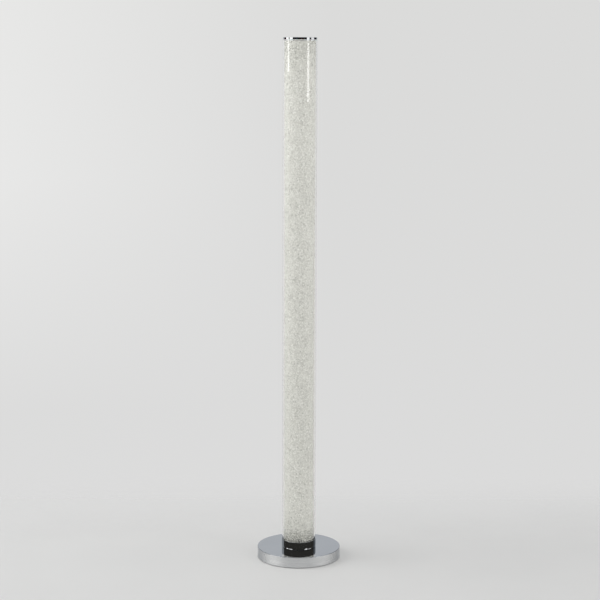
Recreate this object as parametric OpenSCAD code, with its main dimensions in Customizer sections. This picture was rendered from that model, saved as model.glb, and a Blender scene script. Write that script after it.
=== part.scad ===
// Crystal column floor lamp: a clear tube over a crystal-effect sleeve, lit from inside by three LED strips
// on an aluminium core, clamped between a chrome cap and a chrome collar by one hollow tie tube.
// Millimetres. The origin is on the floor, under the middle of the base. +Z is up and +Y is the rear.

/* [Base] */
// Outside diameter of the pressed chrome cover
base_d = 200; // [190:1:280]
// Height of the cover, from its lower rim to its top face
cover_h = 25; // [24:1:40]
// Sheet thickness of the cover
cover_wall = 1.5; // [1:0.1:2.5]
// Outside radius of the cover's top edge
cover_edge = 1.2; // [0.6:0.1:4]
// Gap between the floor and the cover's lower rim
rim_gap = 1; // [0.5:0.1:1.8]
// Thickness of the foam pad that the lamp stands on
pad_t = 2; // [1.9:0.1:3.5]
// Thickness of the steel plate that closes the base
plate_t = 1.5; // [1:0.1:2.5]
// Height of the cast bosses that the plate is screwed to
boss_h = 5; // [4.2:0.1:7]
// Radius of a plate boss
boss_r = 7; // [5.5:0.1:9]
// Number of plate bosses and screws
boss_count = 3; // [3:1:4]
// Radius of a plate screw's thread
plate_screw_r = 2; // [1.5:0.1:2.5]
// Radius of a plate screw's countersunk head
plate_head_r = 4; // [3.5:0.1:4.8]
// Length of thread that a plate screw has in its boss
plate_grip = 9; // [6:0.5:12]
// Thickness of the web in the middle of the cast weight, which the nut pulls against
web_t = 5; // [4:0.1:6]
// Radius of the recess round the nut
recess_r = 26; // [24:1:34]
// Width of the wiring trough in the weight
trough_w = 26; // [24:1:34]
// Thickness of iron left above the trough
trough_roof = 4; // [3:0.1:5]

/* [Collar] */
// Height of the chrome collar above the base
collar_h = 18.5; // [12:0.5:40]
// Wall of the collar round the tube
collar_wall = 0.8; // [0.6:0.1:2]
// Thickness of the collar's floor
collar_floor = 2.5; // [1.5:0.1:4]
// How far the collar draws in at its foot
collar_draw = 1.1; // [0.4:0.1:1.4]
// Radius of the curve that its foot draws in by
collar_curve = 13; // [8:0.5:14]

/* [Column] */
// Outside diameter of the clear acrylic tube
tube_d = 80; // [76:1:100]
// Wall of the clear acrylic tube
tube_wall = 3; // [2:0.1:4]
// Cut length of the clear acrylic tube
tube_len = 1208; // [500:1:1600]
// Wall of the crystal-effect sleeve
sleeve_wall = 3; // [2:0.1:4]
// Gap round the sleeve, where its crystal coat stands
coat_gap = 1; // [0.5:0.1:1.5]
// Thickness of each tube gasket
gasket_t = 1; // [0.5:0.1:2]
// Thickness of the chrome cap's disc
cap_t = 5; // [3:0.1:12]
// Radius of the cap's top edge
cap_edge = 0.8; // [0.3:0.1:1.4]

/* [Light engine] */
// Distance from the middle of the core to each flat that holds a strip
core_flat = 12; // [11:0.1:13]
// Half the width of such a flat
core_half = 8; // [7.4:0.1:9]
// Wall of the extrusion
core_wall = 1.6; // [1.2:0.1:2]
// Width of a strip's circuit board
strip_w = 10; // [6:0.1:12]
// Thickness of a strip's circuit board
strip_t = 1; // [0.6:0.1:1.6]
// Depth of the groove that locates a strip
groove_depth = 0.4; // [0.2:0.1:0.6]
// Spacing of the LEDs along a strip
led_pitch = 16.7; // [8:0.1:40]
// Width of one LED, across the strip
led_w = 2.8; // [1.6:0.1:5]
// Length of one LED, along the strip
led_l = 3.5; // [1.6:0.1:5.5]
// Height of one LED
led_h = 0.8; // [0.5:0.05:1.2]
// Thickness of the ring board that feeds the strips
board_t = 1.2; // [0.8:0.1:2]
// Outside radius of the ring board
board_r = 27; // [24:1:29]

/* [Ends and tie] */
// Outside diameter of the threaded tie tube
tie_d = 10; // [8:0.5:12]
// Wall of the tie tube
tie_wall = 1; // [0.8:0.1:1.5]
// Width across flats of the tie nut
nut_af = 17; // [17:0.5:22]
// Thickness of the tie nut
nut_t = 5; // [3:0.1:6]
// Outside radius of the flat washer
washer_r = 10.5; // [9:0.1:12]
// Thickness of the flat washer
washer_t = 1.6; // [1:0.1:2.2]
// Outside radius of the split lock washer
lock_r = 8.5; // [7.2:0.1:9]
// Thickness of the lock washer
lock_t = 1.8; // [1:0.1:2.4]
// Width of the split in the lock washer
lock_split = 0.8; // [0.4:0.1:1.5]
// Length of tie tube that shows below the nut
tie_tail = 1.5; // [0.5:0.1:2]
// Thickness of the lower plug's flange and of the cap's step
flange_t = 2.5; // [2:0.1:4]
// Height of the lower plug above its flange
plug_h = 10; // [8:0.5:16]
// Depth of the socket that holds each end of the core
socket_depth = 6; // [4:0.1:7]
// Radius of the threaded boss under the cap
cap_boss_r = 8; // [7.2:0.1:9]
// Length of that boss
cap_boss_h = 9; // [7:0.1:12]

/* [Wiring] */
// Radius of the hole in the grommet that the cord passes through
cord_hole_r = 3.1; // [2.5:0.1:3.6]
// Wall of the grommet between that hole and the steel
grommet_wall = 1.7; // [1.2:0.1:2.2]
// How far the grommet's lips stand over the steel
grommet_lip = 1.6; // [1:0.1:2]
// Thickness of each grommet lip
grommet_lip_t = 1.6; // [1:0.1:2.2]
// Radius of each lead to the strips
lead_r = 0.8; // [0.5:0.05:1]
// Spacing of the two leads
lead_pitch = 5; // [4:0.1:5.5]
// Distance of the lead hole from the middle of the column
lead_y = 18; // [17.8:0.1:19]
// Radius of the bend in the leads
lead_bend = 4; // [3:0.1:6]
// Distance from the recess round the nut to the terminal block
block_gap = 8; // [6:0.5:12]
// Length of the terminal block along the trough
block_l = 18; // [14:0.5:24]
// Width of the terminal block
block_w = 16; // [13:0.5:20]
// Height of the terminal block
block_h = 9; // [8:0.1:9.5]

/* [Hidden] */
$fn = 128;

// Directions from the middle of the core: to its three flats, and to its three corners
flat_angles = [90, 210, 330];
corner_angles = [30, 150, 270];

// Clearances
slide_fit = 0.2;        // round a piece that is pushed into another by hand
thread_fit = 0.1;       // between the tie tube and what screws or slides on it
end_play = 0.3;         // lengthways, so that only the clear tube is clamped
pad_margin = 3;         // from the cover's inside to the plate, and from the plate to the pad
lead_slack = 0.5;       // round the leads in their hole
nut_bevel = 0.9;        // how far the nut's bevelled face reaches past its flats
seat_gap = 0.05;        // between the grommet's inner lip and the edges of its seat
lip_headroom = 1;       // from the grommet's lip to the roof of the trough
cut = 1;                // how far a cutting shape runs past the face that it opens

// Radii of the column, from the outside in
tube_r = tube_d / 2;
tube_bore = tube_r - tube_wall;
sleeve_r = tube_bore - coat_gap;
sleeve_bore = sleeve_r - sleeve_wall;
plug_r = sleeve_bore - slide_fit;
flange_r = tube_bore - slide_fit;
collar_bore = tube_r + slide_fit;
collar_r = collar_bore + collar_wall;
tie_r = tie_d / 2;
tie_hole = tie_r + thread_fit;
lead_hole = lead_pitch / 2 + lead_r + lead_slack;

// Radii of the base
base_r = base_d / 2;
cover_bore = base_r - cover_wall;
cover_inner_edge = max(cover_edge - cover_wall, 0.3);
weight_r = cover_bore - slide_fit;
plate_r = cover_bore - pad_margin;
pad_r = plate_r - pad_margin;
boss_ring = plate_r - boss_r - pad_margin;

// Heights, from the floor up
plate_z = pad_t;
boss_z = plate_z + plate_t;
weight_z = boss_z + boss_h;
cover_top = rim_gap + cover_h;
weight_top = cover_top - cover_wall;
web_z = weight_top - web_t;
trough_z = weight_top - trough_roof;
washer_z = web_z - washer_t;
lock_z = washer_z - lock_t;
nut_z = lock_z - nut_t;
tie_z = nut_z - tie_tail;
floor_z = cover_top + collar_floor;
tube_z = floor_z + gasket_t;
tube_top = tube_z + tube_len;
cap_z = tube_top + gasket_t;
sleeve_z = floor_z + flange_t;
step_z = cap_z - gasket_t - flange_t / 2;
sleeve_top = step_z - end_play;
board_z = sleeve_z + plug_h;
notch_r = board_r / 9;
strip_z = board_z + board_t;
core_z = board_z - socket_depth;
upper_plug_h = socket_depth + cap_boss_h;
upper_plug_z = sleeve_top - upper_plug_h;
core_top = upper_plug_z + socket_depth;
strip_top = upper_plug_z - end_play;
cap_boss_z = step_z - cap_boss_h;
tie_top = step_z;

// Places along the trough, from the middle to the rear
grommet_r = cord_hole_r + grommet_wall;
lip_r = grommet_r + grommet_lip;
lip_seat = sqrt(cover_bore * cover_bore - lip_r * lip_r) - seat_gap;
cord_z = trough_z - lip_r - lip_headroom;
block_y = recess_r + block_gap;
block_z = trough_z - block_h;
lead_z = block_z + block_h / 2;
terminal_r = 1.5;       // radius of a clamping screw
terminal_sink = 0.5;    // depth of its head below the block's face, and of its slot
ways_slot = 1;          // groove between the block's two ways

// A disc turned with rounded edges, standing on z = 0.
module turned_disc(r, h, top = 0, bottom = 0) {
    rotate_extrude() {
        translate([0, bottom]) square([r, h - top - bottom]);
        if (top > 0) edge_band(r, top, h - top);
        if (bottom > 0) mirror([0, 1]) edge_band(r, bottom, -bottom);
    }
}

// The profile of one rounded edge: a quarter circle and what lies inside it.
module edge_band(r, edge, z) {
    translate([0, z]) square([r - edge, edge]);
    translate([r - edge, z]) intersection() {
        circle(edge);
        square(edge);
    }
}

// A plain bored ring.
module ring(outer, bore, h) {
    difference() {
        cylinder(r = outer, h = h);
        translate([0, 0, -cut]) cylinder(r = bore, h = h + 2 * cut);
    }
}

// The hole that the two leads pass through, at the rear of the column.
module lead_bore(z, h) {
    translate([0, lead_y, z]) cylinder(r = lead_hole, h = h);
}

// Copies its children round the middle, at each plate boss, with the trough midway between two of them.
module at_bosses() {
    for (i = [0 : boss_count - 1])
        rotate(90 + (i + 0.5) * 360 / boss_count) translate([boss_ring, 0, 0]) children();
}

// Base

module base_cover() {
    color("silver") difference() {
        translate([0, 0, rim_gap]) turned_disc(base_r, cover_h, top = cover_edge);
        translate([0, 0, rim_gap - cut])
            turned_disc(cover_bore, cover_h - cover_wall + cut, top = cover_inner_edge);
        cylinder(r = tie_hole, h = cover_top + cut);
        lead_bore(weight_top - cut, cover_wall + 2 * cut);
        translate([0, cover_bore - pad_margin, cord_z]) rotate([-90, 0, 0])
            cylinder(r = grommet_r, h = cover_wall + 2 * pad_margin);
    }
}

module base_weight() {
    chamfer = cover_inner_edge + slide_fit;
    color("dimgray") difference() {
        union() {
            translate([0, 0, weight_z]) cylinder(r = weight_r, h = weight_top - weight_z - chamfer);
            translate([0, 0, weight_top - chamfer])
                cylinder(r1 = weight_r, r2 = weight_r - chamfer, h = chamfer);
            at_bosses() translate([0, 0, boss_z]) cylinder(r = boss_r, h = boss_h + cut);
        }
        translate([0, 0, weight_z - cut]) cylinder(r = recess_r, h = web_z - weight_z + cut);
        translate([0, 0, web_z - cut]) cylinder(r = tie_hole, h = web_t + 2 * cut);
        lead_bore(web_z - cut, web_t + 2 * cut);
        difference() {
            translate([-trough_w / 2, recess_r / 2, weight_z - cut])
                cube([trough_w, base_r, trough_z - weight_z + cut]);
            translate([0, 0, web_z]) cylinder(r = recess_r, h = web_t);
        }
        at_bosses() translate([0, 0, boss_z - cut]) cylinder(r = plate_screw_r, h = plate_grip + cut);
    }
}

module base_plate() {
    color("gainsboro") translate([0, 0, plate_z]) difference() {
        cylinder(r = plate_r, h = plate_t);
        at_bosses() countersink();
    }
}

// A countersunk hole through the plate, with its wide end down.
module countersink() {
    slope = (plate_head_r - plate_screw_r) / plate_t;
    wide = plate_head_r + thread_fit;
    translate([0, 0, -cut])
        cylinder(r1 = wide + slope * cut, r2 = wide - slope * plate_t, h = plate_t + cut);
    cylinder(r = plate_screw_r + thread_fit, h = plate_t + cut);
}

module base_pad() {
    color("black") turned_disc(pad_r, pad_t, top = 0, bottom = pad_t / 4);
}

module plate_screws() {
    color("lightgray") at_bosses() translate([0, 0, plate_z]) difference() {
        union() {
            cylinder(r1 = plate_head_r, r2 = plate_screw_r, h = plate_t);
            translate([0, 0, plate_t / 2])
                cylinder(r = plate_screw_r - thread_fit, h = plate_t / 2 + plate_grip - end_play);
        }
        translate([0, 0, -cut]) cylinder(r = plate_screw_r / 2, h = plate_t / 2 + cut, $fn = 6);
    }
}

// Wiring

module cord_grommet() {
    neck = base_r - lip_seat;
    color("black") translate([0, lip_seat, cord_z]) rotate([-90, 0, 0]) difference() {
        union() {
            translate([0, 0, -grommet_lip_t]) turned_disc(lip_r, grommet_lip_t, bottom = grommet_lip_t / 3);
            translate([0, 0, -cut]) cylinder(r = grommet_r - thread_fit, h = neck + 2 * cut);
            translate([0, 0, neck]) turned_disc(lip_r, grommet_lip_t, top = grommet_lip_t / 3);
        }
        translate([0, 0, -grommet_lip_t - cut])
            cylinder(r = cord_hole_r, h = neck + 2 * grommet_lip_t + 2 * cut);
    }
}

// Copies its children to the four clamping screws: one at each end of each of the block's two ways.
module at_terminals() {
    for (side = [-1, 1], end = [0.25, 0.75])
        translate([side * lead_pitch / 2, block_y + end * block_l, block_z]) children();
}

module terminal_block() {
    color("whitesmoke") difference() {
        translate([-block_w / 2, block_y, block_z]) cube([block_w, block_l, block_h]);
        for (side = [-1, 1])
            translate([side * lead_pitch / 2, block_y - cut, lead_z]) rotate([-90, 0, 0])
                cylinder(r = lead_r + thread_fit, h = block_l + 2 * cut);
        at_terminals() translate([0, 0, -cut])
            cylinder(r = terminal_r + thread_fit, h = block_h / 2 - lead_r + cut);
        translate([-ways_slot / 2, block_y - cut, block_z - cut])
            cube([ways_slot, block_l + 2 * cut, ways_slot + cut]);
    }
}

module terminal_screws() {
    color("gold") at_terminals() translate([0, 0, terminal_sink]) difference() {
        cylinder(r = terminal_r, h = block_h / 2 - lead_r - terminal_sink);
        cube([terminal_sink, 3 * terminal_r, 2 * terminal_sink], center = true);
    }
}

// Two leads: out of the terminal block, forwards along the trough, round one bend and up to the ring board.
module strip_leads() {
    run_end = block_y + block_l / 4;
    color("firebrick") for (side = [-1, 1]) translate([side * lead_pitch / 2, 0, 0]) {
        translate([0, lead_y + lead_bend, lead_z]) rotate([-90, 0, 0])
            cylinder(r = lead_r, h = run_end - lead_y - lead_bend);
        translate([0, lead_y + lead_bend, lead_z + lead_bend]) rotate([0, -90, 0]) rotate(180)
            rotate_extrude(angle = 90) translate([lead_bend, 0]) circle(lead_r);
        translate([0, lead_y, lead_z + lead_bend]) cylinder(r = lead_r, h = board_z - lead_z - lead_bend);
    }
}

// Collar and lower end

// The collar before it is bored: a foot that curves in, a straight wall and a rounded lip.
module collar_blank() {
    foot_h = sqrt(2 * collar_curve * collar_draw - collar_draw * collar_draw);
    lip = collar_wall / 2;
    rotate_extrude() {
        square([collar_r - collar_draw, foot_h]);
        intersection() {
            translate([collar_r - collar_curve, foot_h]) circle(collar_curve);
            translate([collar_r - collar_curve, 0]) square([collar_curve, foot_h]);
        }
        translate([0, foot_h]) square([collar_r, collar_h - foot_h - lip]);
        edge_band(collar_r, lip, collar_h - lip);
    }
}

module lower_collar() {
    color("silver") translate([0, 0, cover_top]) difference() {
        collar_blank();
        translate([0, 0, collar_floor]) cylinder(r = collar_bore, h = collar_h);
        translate([0, 0, -cut]) cylinder(r = tie_hole, h = collar_floor + 2 * cut);
        lead_bore(-cut, collar_floor + 2 * cut);
    }
}

module lower_gasket() {
    color("dimgray") translate([0, 0, floor_z]) ring(tube_r, tube_bore, gasket_t);
}

module lower_plug() {
    color("white") difference() {
        union() {
            translate([0, 0, floor_z]) cylinder(r = flange_r, h = flange_t);
            translate([0, 0, sleeve_z - cut]) cylinder(r = plug_r, h = plug_h + cut);
        }
        translate([0, 0, core_z]) linear_extrude(socket_depth + cut) core_outline(thread_fit);
        translate([0, 0, floor_z - cut]) cylinder(r = tie_hole, h = board_z - floor_z);
        lead_bore(floor_z - cut, board_z - floor_z + 2 * cut);
    }
}

module feed_board() {
    color("seagreen") translate([0, 0, board_z]) linear_extrude(board_t) difference() {
        circle(board_r);
        core_outline(thread_fit);
        for (a = corner_angles) rotate(a) translate([board_r, 0]) circle(notch_r);
    }
}

// Column

module outer_tube() {
    color("aliceblue", 0.35) translate([0, 0, tube_z]) ring(tube_r, tube_bore, tube_len);
}

module crystal_sleeve() {
    color("ivory", 0.8) translate([0, 0, sleeve_z]) ring(sleeve_r, sleeve_bore, sleeve_top - sleeve_z);
}

// The outline of the extrusion: a triangle with its corners cut off, grown by a clearance.
module core_outline(grow = 0) {
    flat = core_flat + grow;
    half = core_half + grow;
    polygon([for (a = flat_angles, side = [-1, 1])
        [flat * cos(a) - side * half * sin(a), flat * sin(a) + side * half * cos(a)]]);
}

module core_section() {
    difference() {
        core_outline();
        difference() {
            core_outline(-core_wall);
            circle(tie_hole + core_wall);
            for (a = corner_angles)
                rotate(a) translate([0, -core_wall / 2]) square([2 * core_flat, core_wall]);
        }
        circle(tie_hole);
        for (a = flat_angles)
            rotate(a) translate([core_flat - groove_depth, -strip_w / 2 - thread_fit])
                square([2 * groove_depth, strip_w + 2 * thread_fit]);
    }
}

module led_core() {
    color("lightsteelblue") translate([0, 0, core_z]) linear_extrude(core_top - core_z) core_section();
}

// Face to face with the core's groove, on the flat at angle a.
module led_strip(a) {
    color("white") rotate(a) translate([core_flat - groove_depth, -strip_w / 2, strip_z])
        cube([strip_t, strip_w, strip_top - strip_z]);
}

// One row of LEDs on the strip at angle a, evenly spaced and centred on its length.
module led_row(a) {
    length = strip_top - strip_z;
    count = floor(length / led_pitch);
    first = strip_z + (length - (count - 1) * led_pitch) / 2;
    color("khaki") rotate(a) for (i = [0 : count - 1])
        translate([core_flat - groove_depth + strip_t, -led_w / 2, first + i * led_pitch - led_l / 2])
            cube([led_h, led_w, led_l]);
}

// Tie

module tie_tube() {
    color("gainsboro") translate([0, 0, tie_z]) ring(tie_r, tie_r - tie_wall, tie_top - tie_z);
}

module flat_washer() {
    color("lightgray") translate([0, 0, washer_z]) ring(washer_r, tie_hole, washer_t);
}

module lock_washer() {
    color("gray") translate([0, 0, lock_z]) difference() {
        ring(lock_r, tie_hole, lock_t);
        translate([tie_r / 2, -lock_split / 2, -cut]) cube([washer_r, lock_split, lock_t + 2 * cut]);
    }
}

module tie_nut() {
    color("goldenrod") translate([0, 0, nut_z]) intersection() {
        difference() {
            cylinder(d = nut_af / cos(30), h = nut_t, $fn = 6);
            translate([0, 0, -cut]) cylinder(r = tie_hole, h = nut_t + 2 * cut);
        }
        turned_disc(nut_af / 2 + nut_bevel, nut_t, bottom = nut_bevel);
    }
}

// Upper end

module upper_plug() {
    color("white") difference() {
        translate([0, 0, upper_plug_z]) cylinder(r = plug_r, h = upper_plug_h);
        translate([0, 0, upper_plug_z - cut]) linear_extrude(socket_depth + cut) core_outline(thread_fit);
        translate([0, 0, core_top - cut]) cylinder(r = cap_boss_r + slide_fit, h = cap_boss_h + 2 * cut);
    }
}

module upper_gasket() {
    color("whitesmoke") translate([0, 0, tube_top]) ring(tube_r, tube_bore, gasket_t);
}

module top_cap() {
    color("silver") difference() {
        union() {
            translate([0, 0, cap_z]) turned_disc(tube_r, cap_t, top = cap_edge);
            translate([0, 0, step_z]) cylinder(r = flange_r, h = cap_z - step_z + cut);
            translate([0, 0, cap_boss_z]) cylinder(r = cap_boss_r, h = cap_boss_h + cut);
        }
        translate([0, 0, cap_boss_z - cut]) cylinder(r = tie_hole, h = cap_boss_h + cut + end_play);
    }
}

base_cover();
base_weight();
base_plate();
base_pad();
plate_screws();
cord_grommet();
terminal_block();
terminal_screws();
strip_leads();
lower_collar();
lower_gasket();
lower_plug();
feed_board();
outer_tube();
crystal_sleeve();
led_core();
led_strip(flat_angles[0]);  // led_strip_rear
led_strip(flat_angles[1]);  // led_strip_left
led_strip(flat_angles[2]);  // led_strip_right
led_row(flat_angles[0]);  // leds_rear
led_row(flat_angles[1]);  // leds_left
led_row(flat_angles[2]);  // leds_right
tie_tube();
flat_washer();
lock_washer();
tie_nut();
upper_plug();
upper_gasket();
top_cap();
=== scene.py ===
"""Crystal column floor lamp on a pale studio floor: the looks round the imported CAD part."""

import math

import bmesh
import bpy
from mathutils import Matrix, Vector


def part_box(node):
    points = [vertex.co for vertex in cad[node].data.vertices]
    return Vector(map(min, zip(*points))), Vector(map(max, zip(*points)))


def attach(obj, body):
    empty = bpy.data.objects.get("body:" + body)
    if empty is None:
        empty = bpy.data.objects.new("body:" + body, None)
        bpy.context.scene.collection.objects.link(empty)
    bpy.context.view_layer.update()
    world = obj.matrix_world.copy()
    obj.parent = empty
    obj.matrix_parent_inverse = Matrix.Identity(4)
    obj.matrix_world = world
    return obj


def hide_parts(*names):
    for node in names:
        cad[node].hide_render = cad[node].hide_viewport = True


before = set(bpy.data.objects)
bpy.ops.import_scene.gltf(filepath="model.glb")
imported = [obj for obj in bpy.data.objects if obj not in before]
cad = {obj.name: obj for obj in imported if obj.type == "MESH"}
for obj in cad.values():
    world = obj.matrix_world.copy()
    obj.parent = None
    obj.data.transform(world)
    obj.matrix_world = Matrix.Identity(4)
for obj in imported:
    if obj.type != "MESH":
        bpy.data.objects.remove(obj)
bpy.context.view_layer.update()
scene = bpy.context.scene


# Sizes in mm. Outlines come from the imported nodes, and what a node's box doesn't tell is named here.

MM = 0.001
TIE_HOLE = 5.1          # radius of the hole for the tie tube
LEAD_HOLE = 3.8         # radius of the hole for the two leads
LEAD_Y = 18             # how far behind the axis that hole is
COVER_SHEET = 1.5       # sheet of the base cover
COLLAR_WALL = 0.8
COLLAR_FLOOR = 2.5
COLLAR_DRAW = 0.5       # how far the collar's foot draws in
COLLAR_CURVE = 13       # radius of the curve that it draws in by
TUBE_WALL = 3
CAP_BOSS = 8            # radius of the boss under the cap
GROMMET_HOLE = 3.1      # radius of the cord's hole
GROMMET_WAIST = 4.7     # radius where the grommet passes through the rim
GROMMET_ROOM = 0.1      # how much wider the hole in the rim is
GROMMET_LIP = 1.6       # thickness of each lip
LED_PITCH = 16.7        # from one LED of a strip to the next
PAD_PITCH = 50.1        # from one row of pads to the next, which is three LEDs
FIRST_LED = 55.275      # height of the lowest LED's middle
FIRST_PADS = 55.9       # height of the lowest row of pads
SHARP_ANGLE = math.radians(32)      # faces that meet at more than this keep a sharp edge


def low(node):
    """Height of a node's lowest point."""
    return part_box(node)[0][2] / MM


def high(node):
    """Height of a node's highest point."""
    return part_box(node)[1][2] / MM


def reach(node):
    """Outside radius of a node that is turned about the column's axis."""
    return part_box(node)[1][0] / MM


# Camera. It stands 3.6 m in front of the lamp and looks a little down, as the photographer did.

CAMERA_PLACE = (0, -3.606, 1.168)       # in m
CAMERA_TURN = (81.495, -0.17, 0.003)    # in degrees
CAMERA_LENS = 92.12                     # in mm, on a sensor 36 mm wide


def place_camera():
    """The camera that takes the main picture."""
    data = bpy.data.cameras.new("studio_camera")
    data.sensor_width = 36
    data.lens = CAMERA_LENS
    data.clip_end = 50
    camera = bpy.data.objects.new("studio_camera", data)
    camera.location = CAMERA_PLACE
    camera.rotation_euler = [math.radians(angle) for angle in CAMERA_TURN]
    scene.collection.objects.link(camera)
    scene.camera = camera


# Helpers for node trees.

def linear(code):
    """A colour written as sRGB hex, turned to linear."""
    parts = [int(code[i:i + 2], 16) / 255 for i in (1, 3, 5)]
    return [c / 12.92 if c <= 0.04045 else ((c + 0.055) / 1.055) ** 2.4 for c in parts] + [1.0]


def first(sockets, key=None):
    """The socket with this number or name, or the first one that is in use."""
    if isinstance(key, int):
        return sockets[key]
    return next(s for s in sockets if s.enabled and (key is None or s.name == key))


def add(tree, kind, inputs=None, stops=None, **settings):
    """Adds a node, sets it up, and links or fills its inputs. stops are a colour ramp's, each one a
    place and a hex code."""
    node = tree.nodes.new(kind)
    for name, value in settings.items():
        setattr(node, name, value)
    if stops:
        marks = node.color_ramp.elements
        while len(marks) < len(stops):
            marks.new(0.5)
        for mark, (place, code) in zip(marks, stops):
            mark.position = place
            mark.color = linear(code)
    for key, value in (inputs or {}).items():
        socket = first(node.inputs, key)
        if isinstance(value, bpy.types.Node):
            value = first(value.outputs)
        if isinstance(value, bpy.types.NodeSocket):
            tree.links.new(value, socket)
        else:
            socket.default_value = value
    return node


def blank(name):
    """A new material and its empty node tree."""
    material = bpy.data.materials.new(name)
    material.use_nodes = True
    material.node_tree.nodes.clear()
    return material, material.node_tree


def grain(tree, size_mm, stretch=(1, 1, 1), detail=3.0, twist=0.0):
    """Cloudy noise whose patches are about size_mm across, drawn out along an axis by its stretch."""
    place = add(tree, "ShaderNodeTexCoord")
    drawn = add(tree, "ShaderNodeMapping",
                {"Vector": place.outputs["Object"], "Scale": [1 / s for s in stretch]})
    cells_a_metre = 500 / size_mm       # a patch is about half a cell of the noise
    return add(tree, "ShaderNodeTexNoise",
               {"Vector": drawn, "Scale": cells_a_metre, "Detail": detail, "Roughness": 0.55,
                "Distortion": twist})


def dressed(tree, tone, pattern, rough, raised, depth_mm, strength=1.0, middle=(0.3, 0.7), **fixed):
    """A shader with this tone, whose roughness goes from one value to another over a pattern's middle
    range, and whose surface is raised by depth_mm where the last pattern is high."""
    gloss = add(tree, "ShaderNodeMapRange",
                {"Value": pattern, "From Min": middle[0], "From Max": middle[1],
                 "To Min": rough[0], "To Max": rough[1]})
    relief = add(tree, "ShaderNodeBump",
                 {"Strength": strength, "Distance": depth_mm * MM, "Height": raised})
    plain = {key.replace("_", " "): value for key, value in fixed.items()}
    return add(tree, "ShaderNodeBsdfPrincipled",
               {"Base Color": tone, "Roughness": gloss, "Normal": relief, **plain})


# Materials of the lamp.

def chrome_plate_polished():
    """Bright chrome over polished steel: a clean mirror with a trace of haze where it was wiped, and
    surfaces that aren't quite flat, so that what it shows wavers a little."""
    material, tree = blank("chrome_plate_polished")
    haze = grain(tree, 45, detail=5.0, twist=0.6)
    wipes = grain(tree, 3, stretch=(9, 1, 9), detail=2.0)
    both = add(tree, "ShaderNodeMath", {0: haze, 1: wipes}, operation="MULTIPLY")
    tone = add(tree, "ShaderNodeValToRGB", {"Fac": haze}, [(0.3, "#D0D1D2"), (0.7, "#CCCDCE")])
    skin = dressed(tree, tone, both, (0.02, 0.05), grain(tree, 18, detail=1.0), 0.003, 0.3,
                   middle=(0.15, 0.4), Metallic=1.0)
    add(tree, "ShaderNodeOutputMaterial", {"Surface": skin})
    return material


def chrome_plate_on_turned_rim():
    """The base cover's chrome: a mirror on top, and on the side fine lathe rings under the plating. The
    crest of each ring faces up, so a share of the side shows the softboxes in pale streaks."""
    material, tree = blank("chrome_plate_on_turned_rim")
    haze = grain(tree, 45, detail=5.0, twist=0.6)
    rings = grain(tree, 0.9, stretch=(60, 60, 1), detail=2.0)
    tone = add(tree, "ShaderNodeValToRGB", {"Fac": haze}, [(0.3, "#D4D5D6"), (0.7, "#D0D1D2")])
    mirror = dressed(tree, tone, haze, (0.02, 0.05), grain(tree, 18, detail=1.0), 0.003, 0.3,
                     Metallic=1.0)

    # The crests, which face up, and whether a point is on the side.
    facing = add(tree, "ShaderNodeNewGeometry").outputs["Normal"]
    upward = add(tree, "ShaderNodeVectorMath", {0: facing, 1: (0, 0, 0.9)}, operation="ADD")
    crest = add(tree, "ShaderNodeVectorMath", {0: upward}, operation="NORMALIZE")
    crests = add(tree, "ShaderNodeBsdfPrincipled",
                 {"Base Color": linear("#F0F0EE"), "Metallic": 1.0, "Roughness": 0.3, "Normal": crest})
    height = add(tree, "ShaderNodeSeparateXYZ", {0: facing})
    side = add(tree, "ShaderNodeMapRange",
               {"Value": height.outputs["Z"], "From Min": 0.4, "From Max": 0.1})

    # Their share varies from ring to ring, and grows where the side is seen at a slant.
    open_rings = add(tree, "ShaderNodeMapRange",
                     {"Value": rings, "From Min": 0.3, "From Max": 0.7, "To Min": 0.08, "To Max": 0.22})
    slant = add(tree, "ShaderNodeLayerWeight", {"Blend": 0.5})
    skimmed = add(tree, "ShaderNodeMapRange",
                  {"Value": slant.outputs["Facing"], "From Min": 0.4, "From Max": 0.8, "To Min": 0.0,
                   "To Max": 0.6})
    shown = add(tree, "ShaderNodeMath", {0: open_rings, 1: skimmed}, operation="ADD")
    share = add(tree, "ShaderNodeMath", {0: side, 1: shown}, operation="MULTIPLY")
    both = add(tree, "ShaderNodeMixShader", {0: share, 1: mirror, 2: crests})
    add(tree, "ShaderNodeOutputMaterial", {"Surface": both})
    return material


def acrylic_tube_extruded():
    """Clear extruded acrylic: glossy, colourless in the wall, with faint draw lines along its length.
    Rays from lamps and soft light pass straight through, so that the column is lit inside."""
    material, tree = blank("acrylic_tube_extruded")
    lines = grain(tree, 5, stretch=(1, 1, 60), detail=2.0)
    skin = dressed(tree, linear("#FFFFFE"), grain(tree, 60), (0.0, 0.03), lines, 0.002, 0.15,
                   IOR=1.49, Transmission_Weight=1.0)
    path = add(tree, "ShaderNodeLightPath")
    light = add(tree, "ShaderNodeMath",
                {0: path.outputs["Is Shadow Ray"], 1: path.outputs["Is Diffuse Ray"]},
                operation="MAXIMUM")
    open_way = add(tree, "ShaderNodeBsdfTransparent", {"Color": linear("#FDFDFB")})
    both = add(tree, "ShaderNodeMixShader", {0: light, 1: skin, 2: open_way})
    add(tree, "ShaderNodeOutputMaterial", {"Surface": both})
    return material


def acrylic_liner_frosted():
    """Extruded acrylic with a sanded outside: milky, soft, and a little uneven where glue soaks in."""
    material, tree = blank("acrylic_liner_frosted")
    patches = grain(tree, 9, detail=4.0)
    tone = add(tree, "ShaderNodeValToRGB", {"Fac": patches}, [(0.3, "#D2D2CD"), (0.7, "#E4E4E0")])
    skin = dressed(tree, tone, patches, (0.4, 0.6), grain(tree, 0.5), 0.05, 0.6, IOR=1.49)
    add(tree, "ShaderNodeOutputMaterial", {"Surface": skin})
    return material


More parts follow.
